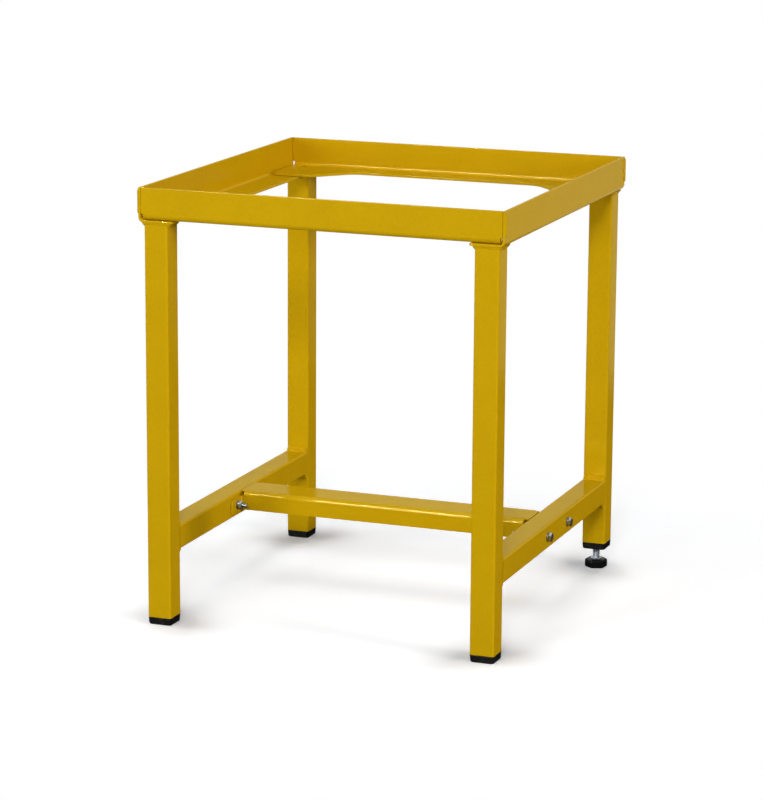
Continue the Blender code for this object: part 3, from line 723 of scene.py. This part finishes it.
def leg_weld(end, end_sign, side, side_sign):
    """A fillet weld round the top of a leg, narrow on the outer face, where the tray overhangs least."""
    node = f"leg_bead_{end}_{side}"
    seed = 3 * side_sign + end_sign
    sections = []
    outline = rounded_square(TUBE, TUBE_CORNER)
    for index, (point, outward) in enumerate(evenly_spaced(outline, LEG_WELD_SPACING)):
        swell = unevenness(index * LEG_WELD_SPACING, seed)
        facing_out = max(0, outward.y * end_sign) ** 2
        width = min(LEG_WELD * swell, LEG_WELD + (END_LEDGE - FIT - LEG_WELD) * facing_out)
        drop = (LEG_WELD + LEG_WELD_LIP) * swell * (1 - OUTER_WELD_LOSS * facing_out)
        section = []
        for across, down in fillet(width, drop, LEG_WELD_FULLNESS):
            x = side_sign * LEG_X + point.x + outward.x * across
            y = end_sign * LEG_Y + point.y + outward.y * across
            section.append((x, y, TRAY_BOTTOM - down))
        sections.append(section)
    fitted(stacked(f"leg_weld_{end}_{side}", sections, closed=True), YELLOW, "frame", node)


def rail_weld(end, end_sign, side, side_sign, level, level_sign):
    """A full fillet weld across the top or the bottom of a side rail, where it meets a leg."""
    node = f"rail_bead_{end}_{side}_{level}"
    low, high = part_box(node)
    size = high.z - low.z + FIT
    leg_face = end_sign * (LEG_Y - TUBE / 2)
    rail_face = RAIL_HEIGHT + level_sign * TUBE / 2
    half = TUBE / 2 - RAIL_WELD_MARGIN
    seed = 7 * side_sign + 3 * end_sign + level_sign
    sections = []
    for row in range(RAIL_WELD_ROWS + 1):
        x = half * (2 * row / RAIL_WELD_ROWS - 1)
        inset = max(0, abs(x) - half + TUBE_CORNER) / TUBE_CORNER
        taper = 1 - RAIL_WELD_END_LOSS * inset ** 2
        drop = TUBE_CORNER * (1 - math.sqrt(max(0, 1 - inset ** 2))) * RAIL_WELD_END_DROP
        swell = unevenness(x, seed) * taper
        section = []
        for along, rise in fillet(size * swell, size * swell, RAIL_WELD_FULLNESS):
            y = leg_face - end_sign * (along - drop)
            section.append((side_sign * LEG_X + x, y, rail_face + level_sign * (rise - drop)))
        sections.append(section)
    fitted(stacked(f"rail_weld_{end}_{side}_{level}", sections), YELLOW, "frame", node)


# Legs and side rails

def square_tube(name, length):
    """A square tube about Z, from 0 up to its length."""
    outer = rounded_square(TUBE, TUBE_CORNER)
    inner = rounded_square(TUBE - 2 * TUBE_WALL, TUBE_BORE_CORNER)
    sections = [level_outline(outline, z) for outline, z in (
        (outer, 0), (outer, length), (inner, length), (inner, 0)
    )]
    return stacked(name, sections, closed=True)


def leg(end, end_sign, side, side_sign):
    node = f"leg_{end}_{side}"
    low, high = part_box(node)
    obj = square_tube(f"leg_tube_{end}_{side}", high.z - low.z)
    obj.location = (side_sign * LEG_X, end_sign * LEG_Y, low.z)
    settled(obj)
    fitted(soften(obj, SHEET_EDGE), YELLOW, "frame", node)


def drill_bolt_holes(obj, side, x, reach):
    """Cuts a side's bolt holes along X, through all that lies within reach of x."""
    for end, _ in ENDS:
        low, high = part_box(f"bolt_{side}_{end}")
        cutter = cylinder("drill", BOLT_BORE, -reach, reach)
        cutter.rotation_euler = (0, math.pi / 2, 0)
        cutter.location = (x, (low.y + high.y) / 2, RAIL_HEIGHT)
        cut_away(obj, cutter)


def side_rail(side, sign):
    node = "side_rail_" + side
    low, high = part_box(node)
    obj = square_tube("rail_tube_" + side, high.y - low.y)
    obj.rotation_euler = (-math.pi / 2, 0, 0)
    obj.location = (sign * LEG_X, low.y, RAIL_HEIGHT)
    drill_bolt_holes(obj, side, sign * LEG_X, TUBE)
    settled(obj)
    fitted(soften(obj, SHEET_EDGE), YELLOW, "frame", node)


# Cross rail

def cross_rail():
    low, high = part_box("cross_rail")
    back = high.x
    tab_face = back - RAIL_SHEET
    relief = tab_face - TAB_FOLD - RELIEF_LENGTH
    middle = (low.y + high.y) / 2
    half = CHANNEL_WIDTH / 2
    flat = half - CHANNEL_BEND - RELIEF_MARGIN
    tab_reach = high.y - middle
    tab_top = high.z - TAB_DROP

    quarter = [(relief, half), (relief, flat), (back, flat)]
    right = quarter + [(x, -y) for x, y in reversed(quarter)]
    top = right + [(-x, y) for x, y in reversed(right)]
    web = [(relief, high.z), (relief, tab_top), (tab_face, tab_top), (tab_face, low.z)]
    web = web + [(-x, z) for x, z in reversed(web)]
    tab = rounded_outline([
        (half, tab_top, 0),
        (tab_reach, tab_top, BOLT_TAB_TOP_RADIUS),
        (tab_reach, low.z, BOLT_TAB_BOTTOM_RADIUS),
        (half, low.z, 0),
    ])
    panels = [([(x, middle + y, high.z) for x, y in top], (0, 0, 1))]
    folds = []
    for _, end_sign in ENDS:
        y = middle + end_sign * half
        panels.append(([(x, y, z) for x, z in web], (0, end_sign, 0)))
        folds.append(((-relief, y, high.z), (relief, y, high.z), CHANNEL_BEND))
        for _, side_sign in SIDES:
            x = side_sign * tab_face
            panels.append(([(x, middle + end_sign * reach, z) for reach, z in tab], (-side_sign, 0, 0)))
            folds.append(((x, y, tab_top), (x, y, low.z), TAB_FOLD))
    obj = folded_sheet("cross_channel", panels, folds, RAIL_SHEET)
    for side, sign in SIDES:
        drill_bolt_holes(obj, side, sign * tab_face, 3 * RAIL_SHEET)
    settled(obj)
    fitted(soften(obj, RAIL_SHEET_EDGE), YELLOW, "frame", "cross_rail")


# Fasteners, each drawn about its own axis along Z

def stand_on_bolt(obj, node, side_sign, seat):
    """Lays a fastener along X, its top outwards and its seat at that distance from the middle."""
    low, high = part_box(node)
    obj.rotation_euler = (0, side_sign * math.pi / 2, 0)
    obj.location = (side_sign * seat, (low.y + high.y) / 2, RAIL_HEIGHT)
    settled(obj)


def hexagon_sections(low, high, chamfers):
    """Rings of a six-sided block whose corners are turned off at the heights in chamfers."""
    face = ACROSS_FLATS / 2 * FACE_SHARE
    slope = math.tan(HEX_CHAMFER_ANGLE)
    sections = []
    for height, inwards in ((low, 1), (high, -1)):
        rim = []
        for direction in circle(2, THREAD_STEPS):
            past_corner = math.atan2(direction.y, direction.x) % (2 * math.pi / HEX_SIDES)
            reach = ACROSS_FLATS / 2 / math.cos(past_corner - math.pi / HEX_SIDES)
            fall = (reach - face) * slope if height in chamfers else 0
            rim.append((direction.x * reach, direction.y * reach, height + inwards * fall))
        flat = level_outline(circle(2 * face, THREAD_STEPS), height)
        if height not in chamfers:
            sections.append(rim)
        elif inwards > 0:
            sections += [flat, rim]
        else:
            sections += [rim, flat]
    return sections


def bolt(side, side_sign, end):
    """A hexagon bolt whose head lies outside the rail and whose thread passes the nut."""
    node = f"bolt_{side}_{end}"
    low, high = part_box(node)
    length = high.x - low.x - BOLT_HEAD_HEIGHT
    thread_start = length - BOLT_THREAD_LENGTH
    rod = [(BOLT_DIAMETER / 2, 0, 0)]
    rod += thread_profile(BOLT_DIAMETER, BOLT_PITCH, thread_start, length, BOLT_CHAMFER)
    downwards = [(radius, -height, depth) for radius, height, depth in reversed(rod)]
    sections = turned_sections(downwards, BOLT_PITCH)
    sections += hexagon_sections(0, BOLT_HEAD_HEIGHT, (BOLT_HEAD_HEIGHT,))
    obj = stacked(f"hex_bolt_{side}_{end}", sections)
    stand_on_bolt(obj, node, side_sign, max(abs(low.x), abs(high.x)) - BOLT_HEAD_HEIGHT)
    fitted(evenly_shaded(obj), ZINC, "frame", node)


def nut(side, side_sign, end):
    node = f"nut_{side}_{end}"
    low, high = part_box(node)
    height = high.x - low.x
    bore = circle(BOLT_BORE, THREAD_STEPS)
    sections = [level_outline(bore, 0)]
    sections += hexagon_sections(0, height, (0, height))
    sections.append(level_outline(bore, height))
    obj = stacked(f"hex_nut_{side}_{end}", sections, closed=True)
    stand_on_bolt(obj, node, side_sign, min(abs(low.x), abs(high.x)))
    fitted(soften(obj, TURNED_EDGE), ZINC, "frame", node)


def washer(place, side, side_sign, end):
    node = f"{place}_washer_{side}_{end}"
    low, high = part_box(node)
    thickness = high.x - low.x
    inner = BOLT_BORE / 2
    outer = (high.z - low.z) / 2
    edge = WASHER_EDGE
    profile = [
        (inner, thickness, 0),
        (outer - edge, thickness, 0),
        (outer, thickness - edge, 0),
        (outer, edge, 0),
        (outer - edge, 0, 0),
        (inner, 0, 0),
    ]
    obj = turned(f"{place}_plain_washer_{side}_{end}", profile, closed=True)
    stand_on_bolt(obj, node, side_sign, min(abs(low.x), abs(high.x)))
    fitted(soften(obj, TURNED_EDGE), ZINC, "frame", node)


# Leg ends

def plugged_head(name, low, seat, high):
    """A moulded leg end about Z: its rounded head from low to seat and its ribbed plug up to high."""
    sections = []
    for step in range(ARC_STEPS + 1):
        angle = math.pi / 2 * step / ARC_STEPS
        inset = CAP_EDGE * (1 - math.sin(angle))
        outline = rounded_square(TUBE - 2 * inset, CAP_CORNER - inset)
        sections.append(level_outline(outline, low + CAP_EDGE * (1 - math.cos(angle))))
    sections.append(level_outline(rounded_square(TUBE, TUBE_CORNER), seat))
    bore = TUBE - 2 * TUBE_WALL
    rib = rounded_square(bore - 2 * FIT, TUBE_BORE_CORNER)
    core = rounded_square(bore - 2 * PLUG_RIB_DEPTH, TUBE_BORE_CORNER)
    sections.append(level_outline(core, seat))
    pitch = (high - seat) / (PLUG_RIBS + 1)
    for index in range(PLUG_RIBS):
        bottom = seat + (index + 1) * pitch - PLUG_RIB_THICKNESS / 2
        top = bottom + PLUG_RIB_THICKNESS
        sections.append(level_outline(core, bottom))
        sections.append(level_outline(rib, bottom))
        sections.append(level_outline(rib, top))
        sections.append(level_outline(core, top))
    sections.append(level_outline(core, high))
    return stacked(name, sections)


def leg_cap(end, end_sign, side, side_sign):
    node = f"end_cap_{end}_{side}"
    low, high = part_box(node)
    leg_low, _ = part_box(f"leg_{end}_{side}")
    obj = plugged_head(f"leg_cap_{end}_{side}", low.z, leg_low.z - FIT, high.z)
    obj.location = (side_sign * LEG_X, end_sign * LEG_Y, 0)
    settled(obj)
    fitted(soften(obj, CAP_SOFT_EDGE), CAP_BLACK, "frame", node)


def foot_insert():
    low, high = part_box("levelling_insert")
    bush_low, bush_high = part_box("threaded_bush")
    leg_low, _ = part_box("leg_rear_right")
    obj = plugged_head("foot_insert", low.z, leg_low.z - FIT, high.z)
    socket = cylinder("socket", bush_high.x - bush_low.x + 2 * FIT, bush_low.z - FIT, high.z + TUBE)
    mouth = cylinder("mouth", STUD_DIAMETER + 2 * FIT, low.z - TUBE, high.z)
    obj.matrix_world = FOOT_AXIS
    for cutter in (socket, mouth):
        cutter.matrix_world = FOOT_AXIS
        cut_away(obj, cutter)
    settled(obj)
    fitted(soften(obj, CAP_SOFT_EDGE), CAP_BLACK, "frame", "levelling_insert")


def foot_bush():
    low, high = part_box("threaded_bush")
    outer = (high.x - low.x) / 2
    bore = STUD_DIAMETER / 2 + RUNNING_FIT
    profile = [
        (bore, high.z, 0),
        (outer - BUSH_CHAMFER, high.z, 0),
        (outer, high.z - BUSH_CHAMFER, 0),
        (outer, low.z + BUSH_CHAMFER, 0),
        (outer - BUSH_CHAMFER, low.z, 0),
        (bore, low.z, 0),
    ]
    obj = turned("foot_bush", profile, closed=True)
    obj.matrix_world = FOOT_AXIS
    fitted(soften(settled(obj), TURNED_EDGE), ZINC, "frame", "threaded_bush")


def foot_stud():
    """The screw of the foot, with the collar that rests on the pad and the pivot that turns in it."""
    low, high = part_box("levelling_stud")
    _, pad_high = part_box("levelling_pad")
    collar = pad_high.z + RUNNING_FIT
    shoulder = COLLAR_DIAMETER / 2
    pivot = PIVOT_DIAMETER / 2
    neck = STUD_DIAMETER / 2 * NECK_SHARE
    thread_start = collar + COLLAR_HEIGHT + NECK_LENGTH
    profile = [
        (pivot - STUD_EDGE, low.z, 0),
        (pivot, low.z + STUD_EDGE, 0),
        (pivot, collar, 0),
        (shoulder - STUD_EDGE, collar, 0),
        (shoulder, collar + STUD_EDGE, 0),
        (shoulder, collar + COLLAR_HEIGHT - STUD_EDGE, 0),
        (shoulder - STUD_EDGE, collar + COLLAR_HEIGHT, 0),
        (neck, collar + COLLAR_HEIGHT, 0),
        (neck, thread_start - STUD_EDGE, 0),
    ]
    profile += thread_profile(STUD_DIAMETER, STUD_PITCH, thread_start, high.z, STUD_CHAMFER)
    obj = turned("foot_stud", profile, STUD_PITCH)
    obj.matrix_world = FOOT_AXIS
    fitted(soften(settled(obj), TURNED_EDGE), ZINC, "stud", "levelling_stud")


def foot_pad():
    """The black pad under the stud: a rounded six-sided foot with a socket for the stud's pivot."""
    _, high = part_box("levelling_pad")
    insets_and_heights = (
        (PAD_FOOT_CHAMFER, 0),
        (0.3 * PAD_FOOT_CHAMFER, 0.4 * PAD_FOOT_CHAMFER),
        (0, PAD_FOOT_CHAMFER + PAD_EASE),
        (0, high.z - PAD_CHAMFER - PAD_EASE),
        (0.25 * PAD_EASE, high.z - PAD_CHAMFER),
        (PAD_CHAMFER - PAD_EASE, high.z - PAD_EASE),
        (PAD_CHAMFER, high.z - 0.2 * PAD_EASE),
        (PAD_CHAMFER + PAD_EASE, high.z),
    )
    sections = []
    for inset, z in insets_and_heights:
        across = PAD_ACROSS_CORNERS - 2 * inset / math.cos(math.pi / HEX_SIDES)
        sections.append(level_outline(rounded_hexagon(across, PAD_CORNER - 0.8 * inset), z))
    obj = stacked("foot_pad", sections)
    socket = cylinder("socket", PIVOT_DIAMETER + FIT, high.z - PIVOT_SOCKET_DEPTH, high.z + TUBE)
    cut_away(obj, socket)
    settled(obj)
    obj.matrix_world = FOOT_AXIS @ Matrix.Rotation(PAD_TURN, 4, "Z")
    fitted(soften(settled(obj), PAD_SOFT_EDGE), PAD_BLACK, "pad", "levelling_pad")


def build_stand():
    for side, side_sign in SIDES:
        tray_side(side, side_sign)
        side_rail(side, side_sign)
    for end, end_sign in ENDS:
        tray_end(end, end_sign)
        for side, side_sign in SIDES:
            leg(end, end_sign, side, side_sign)
            leg_weld(end, end_sign, side, side_sign)
            corner_weld(end, end_sign, side, side_sign)
            for level, level_sign in LEVELS:
                rail_weld(end, end_sign, side, side_sign, level, level_sign)
            bolt(side, side_sign, end)
            nut(side, side_sign, end)
            washer("head", side, side_sign, end)
            washer("nut", side, side_sign, end)
            if (end, side) != ("rear", "right"):
                leg_cap(end, end_sign, side, side_sign)
    cross_rail()
    foot_insert()
    foot_bush()
    foot_stud()
    foot_pad()


# Studio: floor, room and lamps, set to the photograph's shadows and reflections

FLOOR_DIAMETER = 8.0
FLOOR_STEPS = 64
FLOOR_DEEP = (0.865, 0.905, 0.975, 1)
FLOOR_PALE = (0.885, 0.925, 0.995, 1)
FLOOR_BOUNCE = (0.40, 0.41, 0.43, 1)
FLOOR_LIFT = (0.36, 0.36, 0.36, 1)
FLOOR_MOTTLE = 40.0
FLOOR_MIRRORED = 0.02
# Painted contact shadow: near the stand, and only inside the feet, the floor's glow is taken away
CONTACT_REACH = 0.095
CONTACT_SAMPLES = 24
CONTACT_SHADE = (0.84, 0.99)
CONTACT_END = (0.29, 0.37)
FLOOR_END = (0.40, 0.80)
FLOOR_OPENS_BEHIND = (1.2, 1.6)

ROOM_LIGHT = 0.27
ROOM_COLOUR = (1, 0.96, 0.90, 1)
ROOM_MIRRORED = 0.12
BACKDROP_DEPTH = (-0.3, 0.4)
BACKDROP_SLANT = 0.38
BACKDROP_EDGE = (-0.085, 0.085)

LAMP_TARGET = Vector((0, 0, 0.35))
WHITE_LAMP = (1, 1, 1)
WARM_LAMP = (1, 0.90, 0.78)


def pale_floor():
    """A pale floor with the stand's shadow near it, partly real and partly a painted contact shadow, white
    further out, and dim or open in reflections.
    """
    floor = new_finish("pale_floor")
    where = floor.place()
    distance = floor.node("ShaderNodeVectorMath", {"operation": "LENGTH"}, {0: where}, "Value")
    behind = floor.node("ShaderNodeSeparateXYZ", None, {"Vector": where}, "Y")

    mottle = floor.speckle(FLOOR_MOTTLE, where=where)
    shaded = floor.matt(floor.mix(mottle, FLOOR_DEEP, FLOOR_PALE))
    # Painted contact shadow: the glow fades where the stand is near, but not outside the feet
    openness = floor.node(
        "ShaderNodeAmbientOcclusion", {"samples": CONTACT_SAMPLES}, {"Distance": CONTACT_REACH}, "AO"
    )
    glow_outside_painted_shadow = openness.between(*CONTACT_SHADE).largest(distance.between(*CONTACT_END))
    lift = floor.blend(glow_outside_painted_shadow, floor.glow(0.0), floor.glow(1.0, FLOOR_LIFT))
    lit = floor.node("ShaderNodeAddShader", None, {0: shaded, 1: lift})
    seen = floor.blend(distance.between(*FLOOR_END), lit, floor.glow(1.0))

    open_backdrop = floor.node("ShaderNodeBsdfTransparent")
    mirrored = floor.blend(behind.between(*FLOOR_OPENS_BEHIND), floor.glow(FLOOR_MIRRORED), open_backdrop)
    mirroring = floor.light_path("Is Glossy Ray").largest(floor.light_path("Is Transmission Ray"))
    unseen = floor.blend(mirroring, floor.matt(FLOOR_BOUNCE), mirrored)
    return floor.surface(floor.blend(floor.light_path("Is Camera Ray"), unseen, seen))


def lay_floor():
    ring = circle(FLOOR_DIAMETER, FLOOR_STEPS)
    shape = bmesh.new()
    shape.faces.new([shape.verts.new((x, y, 0)) for x, y in ring])
    obj = shown("floor", new_mesh("floor", shape))
    obj.data.materials.append(pale_floor())


def backdrop_light(room, strength, colour=(1, 1, 1, 1)):
    return room.node("ShaderNodeBackground", None, {"Color": colour, "Strength": strength})


def light_room():
    """White to the camera, soft to the stand, and in its reflections white behind and dim in front."""
    world = bpy.data.worlds.new("white_room")
    bpy.context.scene.world = world
    room = Finish(world)
    direction = room.node("ShaderNodeTexCoord", output="Generated")
    aside = room.node("ShaderNodeSeparateXYZ", None, {"Vector": direction}, "X")
    depth = room.node("ShaderNodeSeparateXYZ", None, {"Vector": direction}, "Y")
    beside = (aside - depth * BACKDROP_SLANT).between(*BACKDROP_EDGE)
    behind = depth.between(*BACKDROP_DEPTH) * (1 - beside)
    white = backdrop_light(room, 1.0)
    soft = backdrop_light(room, ROOM_LIGHT, ROOM_COLOUR)
    mirrored = room.blend(behind, backdrop_light(room, ROOM_MIRRORED), white)
    unseen = room.blend(room.light_path("Is Glossy Ray"), soft, mirrored)
    shader = room.blend(room.light_path("Is Camera Ray"), unseen, white)
    room.node("ShaderNodeOutputWorld", None, {"Surface": shader})


def softbox(name, place, size, power, colour=WHITE_LAMP):
    lamp = bpy.data.lights.new(name, "AREA")
    lamp.shape = "RECTANGLE"
    lamp.size, lamp.size_y = size
    lamp.energy = power
    lamp.color = colour
    obj = bpy.data.objects.new(name, lamp)
    bpy.context.scene.collection.objects.link(obj)
    obj.location = place
    obj.rotation_euler = (LAMP_TARGET - Vector(place)).to_track_quat("-Z", "Y").to_euler()
    return obj


def light_stand():
    softbox("key_light", place=(-1.2, -4.0, 0.85), size=(0.72, 0.72), power=45)
    softbox("high_light", place=(1.0, -3.6, 2.1), size=(0.58, 0.58), power=49)
    softbox("right_light", place=(5.4, -1.12, 1.52), size=(0.85, 0.85), power=122, colour=WARM_LAMP)
    softbox("left_light", place=(-1.3, -0.3, 0.6), size=(0.6, 0.6), power=3.5)
    softbox("overhead_light", place=(-0.1, -0.35, 2.4), size=(1.2, 1.2), power=10)
    sparkle = softbox("sparkle_light", place=(-0.9, -2.05, 1.62), size=(0.55, 0.3), power=82)
    sparkle.visible_diffuse = False
    rear = softbox("rear_light", place=(0, 3.4, 1.2), size=(0.6, 0.6), power=22)
    rear.visible_glossy = False


def set_camera():
    camera = bpy.data.cameras.new("photograph")
    camera.sensor_fit = "HORIZONTAL"
    camera.sensor_width = CAMERA_SENSOR
    camera.lens = CAMERA_LENS
    obj = bpy.data.objects.new("photograph", camera)
    bpy.context.scene.collection.objects.link(obj)
    turn = Matrix.Rotation(CAMERA_YAW, 4, "Z")
    tilt = Matrix.Rotation(math.pi / 2 - CAMERA_PITCH, 4, "X")
    roll = Matrix.Rotation(CAMERA_ROLL, 4, "Z")
    obj.matrix_world = Matrix.Translation(CAMERA_PLACE) @ turn @ tilt @ roll
    bpy.context.scene.camera = obj


build_stand()
lay_floor()
light_room()
light_stand()
set_camera()
bpy.context.scene.view_settings.view_transform = "Standard"
